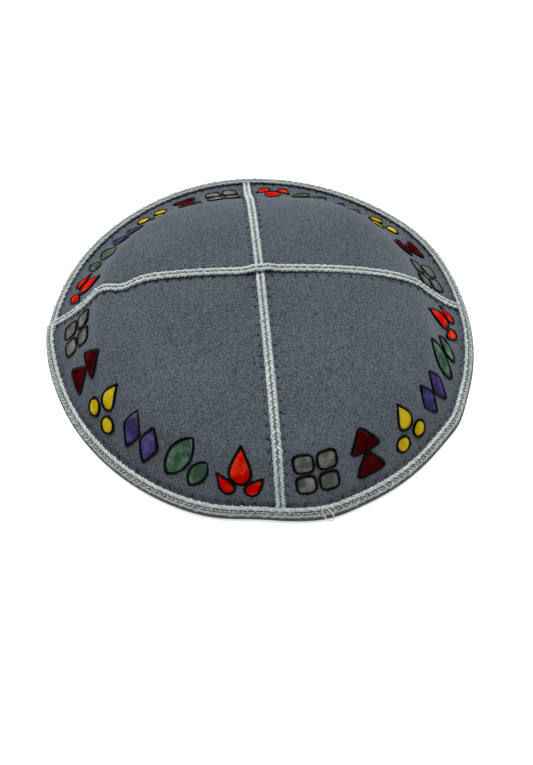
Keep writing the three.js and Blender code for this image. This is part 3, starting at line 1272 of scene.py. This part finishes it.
@dataclass(frozen=True)
class SeamBraids:
    """The two braids over the seams; the left-right one crosses over the other at the crown."""

    sizes: BraidSizes = BraidSizes(
        column_offset=0.88,
        column_height=0.28,
        turn_radius=0.50,
        strand_radius=0.46,
        core_radius=0.66,
        strand_pitch=1.35,
        strand_lean=2.4,
    )
    seed: int = 11

    def build(self, tree: BraidTree) -> None:
        """Makes both braids.

        Args:
            tree: The tree that makes a braid along a line.
        """
        for seam in SEAMS:
            points, up, fullness = seam.path()
            line = GuideLine(points, up, np.broadcast_to(seam.side(), points.shape), fullness)
            name = f"seam_braid_{seam.name}"
            piece = tree.run(guide_object(f"{name}_strands", [line]), self.sizes.values(self.seed))
            settle(piece, node=name)


@dataclass(frozen=True)
class HemBinding:
    """A braid folded over the gores' edge: a tape round the edge and strands on its outer face."""

    slot_half: float = 0.72
    slot_floor: float = 1.0
    outer_face: float = 1.3
    inner_face: float = 2.05
    nose_reach: float = 1.5
    nose_length: float = 1.5
    lip_round: float = 0.5
    stations: int = 360
    lap_bearing: float = 180.3
    lap_rise: float = 0.7
    lap_fade: float = 12.0
    lap_over: float = 2.5
    nose_steps: int = 8
    braid_below_lip: float = 1.35
    braid_out: float = 1.0
    groove_out: float = 1.85
    groove_pitch: float = 1.5
    seed: int = 23
    sizes: BraidSizes = BraidSizes(
        column_offset=1.12,
        column_height=0.15,
        turn_radius=0.52,
        strand_radius=0.48,
        core_radius=0.72,
        strand_pitch=1.4,
        strand_lean=3.0,
    )
    groove: StitchSizes = StitchSizes(
        length=1.1, radius=0.22, rise=0.45, sink=0.1, turn=-8.0, finish=PALE_THREAD, wobble=0.25
    )

    def outline(self, reach: float) -> Array:
        """Gives the tape's section: down the slope from the edge, and out of the wall."""
        angles = np.linspace(-math.pi / 2, math.pi / 2, self.nose_steps)
        face = np.where(angles < 0, self.inner_face, self.outer_face)
        nose_start = self.nose_reach - self.nose_length
        nose = np.stack((nose_start + self.nose_length * np.cos(angles), face * np.sin(angles)), axis=-1)
        top = -reach
        slot_end = self.nose_reach - self.slot_floor
        return np.concatenate((
            [(top, -self.slot_half), (top, self.lip_round - self.inner_face)],
            [(top + self.lip_round, -self.inner_face)],
            nose,
            [(top + self.lip_round, self.outer_face), (top, self.outer_face - self.lip_round)],
            [(top, self.slot_half), (slot_end, self.slot_half)],
            [(slot_end, -self.slot_half)],
        ))

    def tape(self) -> bpy.types.Object:
        """Makes the tape all round, flat where it rests on the floor.

        Returns:
            The tape's object.
        """
        bearing = np.linspace(0.0, 360.0, self.stations, endpoint=False)
        outline = np.array([self.outline(reach) for reach in RIM.reach_at(bearing)])
        middle, slope, away = RIM.axes(bearing)
        places = middle[:, None] + outline[..., :1] * slope[:, None] + outline[..., 1:] * away[:, None]
        places[..., 2] = np.maximum(places[..., 2], 0.0)
        points = places.reshape(-1, 3)
        return join_mesh("hem_tape", points, ring_faces(*outline.shape[:2]), TAPE)

    def line(self, below_lip: float, out: float) -> GuideLine:
        """Gives a line round the hem that starts proud of its own tail.

        Args:
            below_lip: Distance down the slope from the hem's upper lip.
            out: Distance out of the wall.

        Returns:
            The line, from the lap round to its tail under the start.
        """
        turn = np.linspace(0.0, 360.0 + self.lap_over, self.stations)
        proud = self.lap_rise * (1.0 - ease(turn, 0.0, self.lap_fade))
        bearing = self.lap_bearing + turn
        points, slope, away = RIM.line(bearing, below_lip - RIM.reach_at(bearing), out + proud)
        return GuideLine.full(points, away, slope)

    def build(self, braid: BraidTree, stitch: StitchTree) -> None:
        """Makes the tape, the strands on it and the stitches between the strands.

        Args:
            braid: The tree that makes a braid along a line.
            stitch: The tree that makes a row of stitches.
        """
        settle(self.tape(), node="hem_binding")
        strands = guide_object("hem_strands", [self.line(self.braid_below_lip, self.braid_out)])
        settle(braid.run(strands, self.sizes.values(self.seed)))
        groove = self.line(self.braid_below_lip, self.groove_out)
        count = int(arc_lengths(groove.points)[-1] / self.groove_pitch)
        guide = guide_object("hem_groove_stitches", [groove])
        settle(stitch.run(guide, self.groove.values(count, self.seed)))


class Gore(Enum):
    """The four gores, each with the two seams that it lies between."""

    BACK_RIGHT = (Seam.RIGHT, Seam.BACK)
    BACK_LEFT = (Seam.BACK, Seam.LEFT)
    FRONT_LEFT = (Seam.LEFT, Seam.FRONT)
    FRONT_RIGHT = (Seam.FRONT, Seam.RIGHT)

    @property
    def node(self) -> str:
        """Gives the name of the gore's CAD node."""
        return f"panel_{self.name.lower()}"

    @property
    def start(self) -> float:
        """Gives the bearing of the gore's first seam."""
        return self.value[0].value

    @property
    def span(self) -> float:
        """Gives the degrees between the gore's two seams."""
        return (self.value[1].value - self.start) % 360.0


@dataclass(frozen=True)
class StitchRow:
    """A line of stitches on the suede."""

    line: GuideLine
    count: int
    turn: float
    sizes: StitchSizes


@dataclass(frozen=True)
class Stitching:
    """Stitch ends beside the seam braids and along the hem's upper edge, near black as painted shade of the
    needle holes.
    """

    seam_offset: float = 2.65
    seam_pitch: float = 3.85
    crown_start: float = 4.5
    above_hem: float = 1.3
    hem_pitch: float = 4.0
    hem_gap: float = 3.0
    hem_points: int = 120
    slant: float = 32.0
    seed: int = 31
    seam_ends: StitchSizes = StitchSizes(
        length=1.0, radius=0.2, rise=0.16, sink=0.14, turn=90.0, finish=HOLE_SHADE_THREAD, wobble=0.4
    )
    hem_ends: StitchSizes = StitchSizes(
        length=0.65, radius=0.22, rise=0.14, sink=0.14, turn=60.0, finish=HOLE_SHADE_THREAD, wobble=0.5
    )

    def seam_rows(self) -> list[StitchRow]:
        """Gives the rows of stitch ends beside the seams."""
        rows = []
        for seam in SEAMS:
            for way in (-1, 1):
                halves = seam.beside(way * self.seam_offset, self.crown_start, RIM.reach + self.above_hem)
                for (points, up), lean in zip(halves, (way, -way)):
                    count = int(arc_lengths(points)[-1] / self.seam_pitch)
                    line = GuideLine.full(points, up, seam.side())
                    rows.append(StitchRow(line, count, 90.0 + lean * self.slant, self.seam_ends))
        return rows

    def hem_rows(self) -> list[StitchRow]:
        """Gives the rows of stitch ends along the hem, one for each gore."""
        rows = []
        for gore in Gore:
            bearing = gore.start + np.linspace(self.hem_gap, gore.span - self.hem_gap, self.hem_points)
            up_wall = RIM.reach_at(bearing) + self.above_hem
            along = np.array([CAP.along_from_edge(*place) for place in zip(bearing, up_wall)])
            points = CAP.point(bearing, along)
            count = int(arc_lengths(points)[-1] / self.hem_pitch)
            line = GuideLine.full(points, CAP.normal(bearing, along), points)
            rows.append(StitchRow(line, count, self.hem_ends.turn, self.hem_ends))
        return rows

    def holes(self) -> Array:
        """Gives the places where stitches pull the suede in."""
        rows = self.seam_rows() + self.hem_rows()
        return np.concatenate([spaced(row.line.points, row.count) for row in rows])

    def build(self, tree: StitchTree) -> None:
        """Makes the stitch ends as one piece.

        Args:
            tree: The tree that makes a row of stitches.
        """
        rows = []
        for number, row in enumerate(self.seam_rows() + self.hem_rows()):
            guide = guide_object(f"stitch_row_{number}", [row.line])
            values = row.sizes.values(row.count, self.seed + number)
            rows.append(tree.run(guide, {**values, "Turn": math.radians(row.turn)}))
        # The stitch ends wear the near-black thread as painted shade of the needle holes.
        settle(join_pieces("hole_shade_stitches", rows))


@dataclass(frozen=True)
class SuedePanels:
    """Four gores of suede, each a closed wall that is drawn in at every stitch."""

    upper_rows: int = 84
    lower_rows: int = 44
    columns: int = 113
    crowding: float = 0.6
    seam_gap: float = 0.1
    stitch_pull: float = 0.28
    stitch_reach: float = 0.8
    hole_window: float = 75.0
    wave_fade: float = 0.12
    waves: int = 10
    wave_height: float = 0.06
    wave_lengths: tuple[float, float] = (16.0, 42.0)
    seed: int = 5
    flat_size: tuple[float, float] = (0.1335, 0.0940)
    flat_area: float = 0.0063

    def waviness(self, places: Array) -> Array:
        """Gives the soft unevenness of the suede.

        Args:
            places: Points of the smooth wall.

        Returns:
            Rise of each point out of the wall.
        """
        rng = np.random.default_rng(self.seed)
        rise = np.zeros(places.shape[:-1])
        for length in np.linspace(*self.wave_lengths, self.waves):
            direction = unit(rng.normal(size=3)) * 2 * math.pi / length
            rise += self.wave_height * np.sin(places @ direction + rng.uniform(0, 2 * math.pi))
        return rise

    def pull(self, places: Array, holes: Array) -> Array:
        """Gives how far the stitches draw the suede in.

        Args:
            places: Points of the smooth wall.
            holes: Places of the stitches.

        Returns:
            Depth at each point.
        """
        depth = np.zeros(places.shape[:-1])
        for hole in holes:
            near = bell(np.linalg.norm(places - hole, axis=-1), self.stitch_reach)
            depth = np.maximum(depth, self.stitch_pull * near)
        return depth

    def panel(self, gore: Gore, holes: Array) -> bpy.types.Object:
        """Makes one gore.

        Args:
            gore: Which of the four.
            holes: Places of the stitches.

        Returns:
            The gore's object.
        """
        upper = np.linspace(0.0, 0.5, self.upper_rows, endpoint=False)
        along = np.concatenate((upper, np.linspace(0.5, 1.0, self.lower_rows)))[:, None]
        share = np.linspace(0.0, 1.0, self.columns)
        share = share - self.crowding * np.sin(2 * math.pi * share) / (2 * math.pi)
        edge_radius = float(np.hypot(*CAP.point(gore.start, 1.0)[:2]))
        inset = math.degrees(self.seam_gap / 2 / edge_radius)
        bearing = gore.start + inset + (gore.span - 2 * inset) * share[None, :]
        middle = math.radians(gore.start + gore.span / 2)
        set_back = np.array((math.cos(middle), math.sin(middle), 0.0)) * self.seam_gap / math.sqrt(2)
        places = CAP.point(bearing, along) + (1 - along)[..., None] * set_back
        normal = CAP.normal(*np.broadcast_arrays(bearing, along))
        normal[0] = (0.0, 0.0, 1.0)
        fade = ease(1 - along, 0.0, self.wave_fade)
        away = np.abs(holes[:, :2] - places.mean(axis=(0, 1))[:2])
        near = holes[np.all(away < self.hole_window, axis=1)]
        outer = places + (self.waviness(places) * fade - self.pull(places, near))[..., None] * normal
        inner = outer - CAP.thickness * normal
        points = np.concatenate((outer.reshape(-1, 3), inner.reshape(-1, 3)))
        faces = wall_faces(len(along), self.columns)
        return join_mesh(f"suede_{gore.name.lower()}", points, faces, SUEDE)

    def build(self, holes: Array) -> None:
        """Makes the four gores.

        Args:
            holes: Places where stitches pull the suede in.
        """
        for gore in Gore:
            piece = settle(self.panel(gore, holes), node=gore.node)


DROP_FULLNESS = 1.25
DROP_TAPER = 1.3
LEAF_TAPER = 1.5
TRIANGLE_PULL = 0.24


class Shape(Enum):
    """Plain shapes that the painted motifs are made of."""

    DROP = "drop"
    LEAF = "leaf"
    LOZENGE = "lozenge"
    PEBBLE = "pebble"
    TRIANGLE = "triangle"
    DISC = "disc"

    def outline(self, count: int) -> Array:
        """Gives the shape's outline within a square of side one.

        Args:
            count: How many points.

        Returns:
            Points round the shape to the left, with the top at +Y.
        """
        turn = np.linspace(0.0, 2 * math.pi, count, endpoint=False)
        across, upward = -np.sin(turn), np.cos(turn)
        if self is Shape.DROP:
            across = DROP_FULLNESS * across * np.sin(turn / 2) ** DROP_TAPER
        elif self is Shape.LEAF:
            across = np.sign(across) * np.abs(across) ** LEAF_TAPER
        elif self is Shape.TRIANGLE:
            across = across + TRIANGLE_PULL * np.sin(2 * turn)
            upward = upward + TRIANGLE_PULL * np.cos(2 * turn)
        else:
            power = {Shape.LOZENGE: 1.2, Shape.DISC: 2.0, Shape.PEBBLE: 3.6}[self]
            reach = (np.abs(across) ** power + np.abs(upward) ** power) ** (-1 / power)
            across, upward = reach * across, reach * upward
        return 0.5 * np.stack((across, upward), axis=-1)


@dataclass(frozen=True)
class Blob:
    """One painted shape of a motif, placed from the motif's middle."""

    shape: Shape
    right: float
    up: float
    width: float
    height: float
    turn: float = 0.0

    def outline(self, count: int) -> Array:
        """Gives the blob's outline in millimetres, from the motif's middle."""
        angle = math.radians(self.turn)
        flat = self.shape.outline(count) * (self.width, self.height)
        spun = np.array(((math.cos(angle), math.sin(angle)), (-math.sin(angle), math.cos(angle))))
        return flat @ spun + (self.right, self.up)

    @property
    def middle(self) -> Array:
        """Gives the blob's own middle."""
        return np.array((self.right, self.up))


@dataclass(frozen=True)
class Motif:
    """A group of blobs painted in one colour."""

    finish: PaintFinish
    blobs: tuple[Blob, ...]


OUTLINE_PAINT = PaintFinish(
    "paint_black",
    colour=(0.0015, 0.0015, 0.002),
    streak=(0.004, 0.004, 0.005),
    roughness=0.45,
    gloss=0.04,
)
# Each paint's lighter streak colour is in part a painted highlight.
MOTIFS = (
    Motif(
        PaintFinish("paint_grey", colour=(0.080, 0.080, 0.072), streak=(0.24, 0.24, 0.22)),
        (
            Blob(Shape.PEBBLE, -3.9, 3.9, 6.4, 6.4),
            Blob(Shape.PEBBLE, 3.9, 3.9, 6.4, 6.4),
            Blob(Shape.PEBBLE, -3.9, -3.9, 6.4, 6.4),
            Blob(Shape.PEBBLE, 3.9, -3.9, 6.4, 6.4),
        ),
    ),
    Motif(
        PaintFinish("paint_maroon", colour=(0.036, 0.0010, 0.0012), streak=(0.110, 0.005, 0.005)),
        (Blob(Shape.TRIANGLE, 0, 4.4, 9.6, 8.2), Blob(Shape.TRIANGLE, 0, -4.6, 9.6, 8.2)),
    ),
    Motif(
        PaintFinish("paint_yellow", colour=(0.46, 0.31, 0.001), streak=(0.70, 0.53, 0.030)),
        (
            Blob(Shape.DROP, 0, 3.8, 7.0, 10.4),
            Blob(Shape.DISC, -4.4, -5.0, 5.8, 5.8),
            Blob(Shape.DISC, 4.4, -5.0, 5.8, 5.8),
        ),
    ),
    Motif(
        PaintFinish("paint_purple", colour=(0.036, 0.026, 0.100), streak=(0.100, 0.082, 0.25)),
        (Blob(Shape.LOZENGE, -3.9, 0.6, 7.0, 13.6), Blob(Shape.LOZENGE, 3.9, -0.6, 7.0, 13.6)),
    ),
    Motif(
        PaintFinish("paint_green", colour=(0.034, 0.078, 0.045), streak=(0.15, 0.25, 0.17)),
        (Blob(Shape.LEAF, -2.6, 0.8, 7.4, 17, -24), Blob(Shape.LEAF, 4.6, -2.6, 5.4, 11, -24)),
    ),
    Motif(
        PaintFinish("paint_red", colour=(0.52, 0.001, 0.0), streak=(0.80, 0.050, 0.015)),
        (
            Blob(Shape.DROP, 0, 2.4, 7.8, 13.4),
            Blob(Shape.DROP, -5.0, -4.6, 5.0, 8.2, 38),
            Blob(Shape.DROP, 5.0, -4.6, 5.0, 8.2, -38),
        ),
    ),
)


@dataclass(frozen=True)
class PaintMotifs:
    """A ring of raised paint motifs, each a domed fill inside a black bead."""

    end_turn: float = 9.7
    up_from_edge: float = 16.5
    outline_points: int = 56
    fill_rings: int = 7
    fill_share: float = 0.96
    fill_rise: float = 0.55
    fill_sink: float = 0.25
    bead_radius: float = 0.5
    bead_sides: int = 8
    bead_lift: float = 0.1
    bead_drift: float = 0.5
    bead_swell: float = 0.27
    wobble: float = 0.16
    ripple_waves: tuple[int, ...] = (2, 3, 5, 8, 11)
    seed: int = 41

    def lay(self, bearing: float, flat: Array, rise: Array) -> Array:
        """Lays flat points on the suede.

        Args:
            bearing: Bearing of the motif's middle.
            flat: Distances to the right of and above the motif's middle.
            rise: Heights above the suede.

        Returns:
            The points in place.
        """
        along = CAP.along_from_edge(bearing, self.up_from_edge + flat[..., 1])
        radius = np.linalg.norm(CAP.point(bearing, along)[..., :2], axis=-1)
        turned = bearing + np.degrees(flat[..., 0] / radius)
        return CAP.point(turned, along) + rise[..., None] * CAP.normal(turned, along)

    def ripple(self, rng: np.random.Generator, count: int) -> Array:
        """Gives an uneven hand's drift round an outline.

        Args:
            rng: Source of chance.
            count: Points of the outline.

        Returns:
            Drift at each point.
        """
        turn = np.linspace(0.0, 2 * math.pi, count, endpoint=False)
        waves = [
            np.sin(wave * turn + rng.uniform(0, 2 * math.pi)) / math.sqrt(wave)
            for wave in self.ripple_waves
        ]
        return self.wobble * sum(waves) / 2

    def fill(self, bearing: float, blob: Blob, rng: np.random.Generator) -> Body:
        """Builds a blob's domed fill.

        Args:
            bearing: Bearing of the motif's middle.
            blob: The painted shape.
            rng: Source of chance.

        Returns:
            The fill's points and faces.
        """
        count = self.outline_points
        reach = blob.outline(count) - blob.middle
        size = np.linalg.norm(reach, axis=1)
        reach = reach * (self.fill_share + self.ripple(rng, count) / size)[:, None]
        shares = np.linspace(0.0, 1.0, self.fill_rings + 1)[1:]
        dome = self.fill_rise * np.sqrt(1 - shares**3)
        flat = blob.middle + shares[:, None, None] * reach
        rings = self.lay(bearing, flat, np.repeat(dome[:, None], count, axis=1))
        foot = self.lay(bearing, flat[-1], np.full(count, -self.fill_sink))
        poles = np.repeat(blob.middle[None], 2, axis=0)
        caps = self.lay(bearing, poles, np.array((self.fill_rise, -self.fill_sink)))
        points = np.concatenate((rings.reshape(-1, 3), foot, caps))
        total = self.fill_rings + 1
        numbers = np.arange(total * count).reshape(total, count)
        numbers = np.concatenate((numbers, numbers[:, :1]), axis=1)
        pairs = zip(numbers[:-1], numbers[1:])
        faces = [face for upper, lower in pairs for face in strip_faces(upper, lower)]
        top, bottom = total * count, total * count + 1
        faces += [(top, numbers[0, k], numbers[0, k + 1]) for k in range(count)]
        faces += [(bottom, numbers[-1, k + 1], numbers[-1, k]) for k in range(count)]
        return points, faces

    def bead(self, bearing: float, blob: Blob, rng: np.random.Generator) -> Body:
        """Builds the black bead round a blob.

        Args:
            bearing: Bearing of the motif's middle.
            blob: The painted shape.
            rng: Source of chance.

        Returns:
            The bead's points and faces.
        """
        count = self.outline_points
        line = blob.outline(count)
        ahead = np.roll(line, -1, axis=0) - np.roll(line, 1, axis=0)
        outward = unit(np.stack((ahead[:, 1], -ahead[:, 0]), axis=-1))
        line = line + self.bead_drift * self.ripple(rng, count)[:, None] * outward
        radius = self.bead_radius * (1 + self.bead_swell * self.ripple(rng, count) / self.wobble)
        angle = np.linspace(0.0, 2 * math.pi, self.bead_sides, endpoint=False)
        flat = line[:, None] + (radius[:, None] * np.cos(angle))[..., None] * outward[:, None]
        rise = self.bead_lift + radius[:, None] * np.sin(angle)
        points = self.lay(bearing, flat, rise)
        return points.reshape(-1, 3), ring_faces(count, self.bead_sides)

    def build(self) -> None:
        """Makes one piece for each colour and one for the beads."""
        rng = np.random.default_rng(self.seed)
        beads: list[Body] = []
        for number, motif in enumerate(MOTIFS):
            fills = []
            for gore in Gore:
                step = (gore.span - 2.0 * self.end_turn) / (len(MOTIFS) - 1)
                bearing = gore.start + self.end_turn + step * number
                fills += [self.fill(bearing, blob, rng) for blob in motif.blobs]
                beads += [self.bead(bearing, blob, rng) for blob in motif.blobs]
            settle(self.gather(f"{motif.finish.name}_fills", fills, motif.finish))
        settle(self.gather("paint_outlines", beads, OUTLINE_PAINT))

    @staticmethod
    def gather(name: str, parts: list[Body], finish: Finish) -> bpy.types.Object:
        """Gathers many small bodies into one piece.

        Args:
            name: Name of the piece.
            parts: Points and faces of each body.
            finish: Paint that they wear.

        Returns:
            The piece.
        """
        faces: Faces = []
        first = 0
        for points, own in parts:
            faces += [tuple(int(corner) + first for corner in face) for face in own]
            first += len(points)
        return join_mesh(name, np.concatenate([points for points, _ in parts]), faces, finish)


@dataclass(frozen=True)
class LooseThread:
    """A fine thread end that stands in a small loop over the hem near the front seam."""

    bearing: float = 279.9
    radius: float = 0.17
    round_steps: int = 2
    curve_steps: int = 10
    order: int = 4
    knots: tuple[tuple[float, float, float], ...] = (
        (-1.5, -4.3, 1.8),
        (-1.7, -2.7, 2.9),
        (-1.3, -0.9, 3.2),
        (-0.2, 1.0, 2.9),
        (1.0, 1.1, 2.8),
        (1.7, 0.1, 3.1),
        (1.5, -1.7, 3.2),
        (0.4, -3.5, 2.6),
    )

    def build(self) -> None:
        """Makes the loop."""
        curve = bpy.data.curves.new("loose_thread_line", "CURVE")
        curve.dimensions = "3D"
        curve.bevel_depth = self.radius * MM
        curve.bevel_resolution = self.round_steps
        curve.resolution_u = self.curve_steps
        spline = curve.splines.new("NURBS")
        spline.points.add(len(self.knots) - 1)
        spline.use_cyclic_u = True
        spline.order_u = self.order
        edge_radius = float(np.hypot(*CAP.point(self.bearing, 1.0)[:2]))
        for spot, (across, down, out) in zip(spline.points, self.knots):
            bearing = np.array([self.bearing + math.degrees(across / edge_radius)])
            place = RIM.line(bearing, np.array([down]), np.array([out]))[0][0] * MM
            spot.co = (*place, 1.0)
        holder = bpy.data.objects.new("loose_thread_line", curve)
        bpy.context.collection.objects.link(holder)
        graph = bpy.context.evaluated_depsgraph_get()
        mesh = bpy.data.meshes.new_from_object(holder.evaluated_get(graph), depsgraph=graph)
        bpy.data.objects.remove(holder)
        mesh.materials.clear()
        mesh.materials.append(CLEAR_THREAD.material())
        mesh.polygons.foreach_set("use_smooth", [True] * len(mesh.polygons))
        piece = bpy.data.objects.new("loose_thread", mesh)
        bpy.context.collection.objects.link(piece)
        settle(piece)


@dataclass(frozen=True)
class Studio:
    """A pale floor, soft light from above and a camera at the photograph's angle."""

    camera_place: tuple[float, float, float] = (-17.31, -142.90, 185.47)
    camera_right: tuple[float, float, float] = (0.99596, -0.08259, 0.03517)
    camera_up: tuple[float, float, float] = (0.05167, 0.84786, 0.52770)
    camera_back: tuple[float, float, float] = (-0.07340, -0.52375, 0.84870)
    lens: float = 26.93
    sensor_width: float = 36.0
    clip_start: float = 0.01
    floor_half: float = 1.5
    floor_colour: Colour = (0.93, 0.93, 0.925)
    floor_roughness: float = 0.9
    floor_glow: float = 0.6
    sun_strength: float = 3.2
    sun_angle: float = 60.0
    sun_tilt: float = -28.0
    sky_strength: float = 0.23

    def floor(self) -> None:
        """Lays the floor."""
        half = self.floor_half
        mesh = bpy.data.meshes.new("studio_floor")
        corners = [(-half, -half, 0.0), (half, -half, 0.0), (half, half, 0.0), (-half, half, 0.0)]
        mesh.from_pydata(corners, [], [(0, 1, 2, 3)])
        material = bpy.data.materials.new("studio_floor")
        material.use_nodes = True
        shader = material.node_tree.nodes["Principled BSDF"]
        shader.inputs["Base Color"].default_value = solid_colour(self.floor_colour)
        shader.inputs["Roughness"].default_value = self.floor_roughness
        shader.inputs["Specular IOR Level"].default_value = 0.0
        shader.inputs["Emission Color"].default_value = (1.0, 1.0, 1.0, 1.0)
        shader.inputs["Emission Strength"].default_value = self.floor_glow
        mesh.materials.append(material)
        floor = bpy.data.objects.new("studio_floor", mesh)
        bpy.context.collection.objects.link(floor)

    def lights(self) -> None:
        """Hangs a broad soft light above and behind, with a pale surround."""
        lamp = bpy.data.lights.new("overhead", "SUN")
        lamp.energy = self.sun_strength
        lamp.angle = math.radians(self.sun_angle)
        holder = bpy.data.objects.new("overhead", lamp)
        holder.rotation_euler = (math.radians(self.sun_tilt), 0.0, 0.0)
        bpy.context.collection.objects.link(holder)
        world = bpy.data.worlds.new("studio_surround")
        world.use_nodes = True
        backdrop = world.node_tree.nodes["Background"]
        backdrop.inputs["Color"].default_value = (1.0, 1.0, 1.0, 1.0)
        backdrop.inputs["Strength"].default_value = self.sky_strength
        bpy.context.scene.world = world

    def camera(self) -> None:
        """Sets the camera where the photograph was taken from."""
        lens = bpy.data.cameras.new("photo_camera")
        lens.lens = self.lens
        lens.sensor_width = self.sensor_width
        lens.clip_start = self.clip_start
        holder = bpy.data.objects.new("photo_camera", lens)
        columns = (self.camera_right, self.camera_up, self.camera_back)
        turn = Matrix([Vector(column) for column in columns]).transposed().to_4x4()
        holder.matrix_world = Matrix.Translation(Vector(self.camera_place) * MM) @ turn
        bpy.context.collection.objects.link(holder)
        bpy.context.scene.camera = holder

    def build(self) -> None:
        """Sets up the studio."""
        self.camera()
        self.floor()
        self.lights()
        bpy.context.scene.view_settings.view_transform = "Standard"


def main() -> None:
    """Builds the cap's pieces in order."""
    logging.basicConfig(level=logging.INFO, format="%(name)s: %(message)s")
    Studio().build()
    braid, stitch = BraidTree(), StitchTree()
    stitching = Stitching()
    SuedePanels().build(stitching.holes())
    SeamBraids().build(braid)
    HemBinding().build(braid, stitch)
    stitching.build(stitch)
    PaintMotifs().build()
    LooseThread().build()


if __name__ == "__main__":
    main()
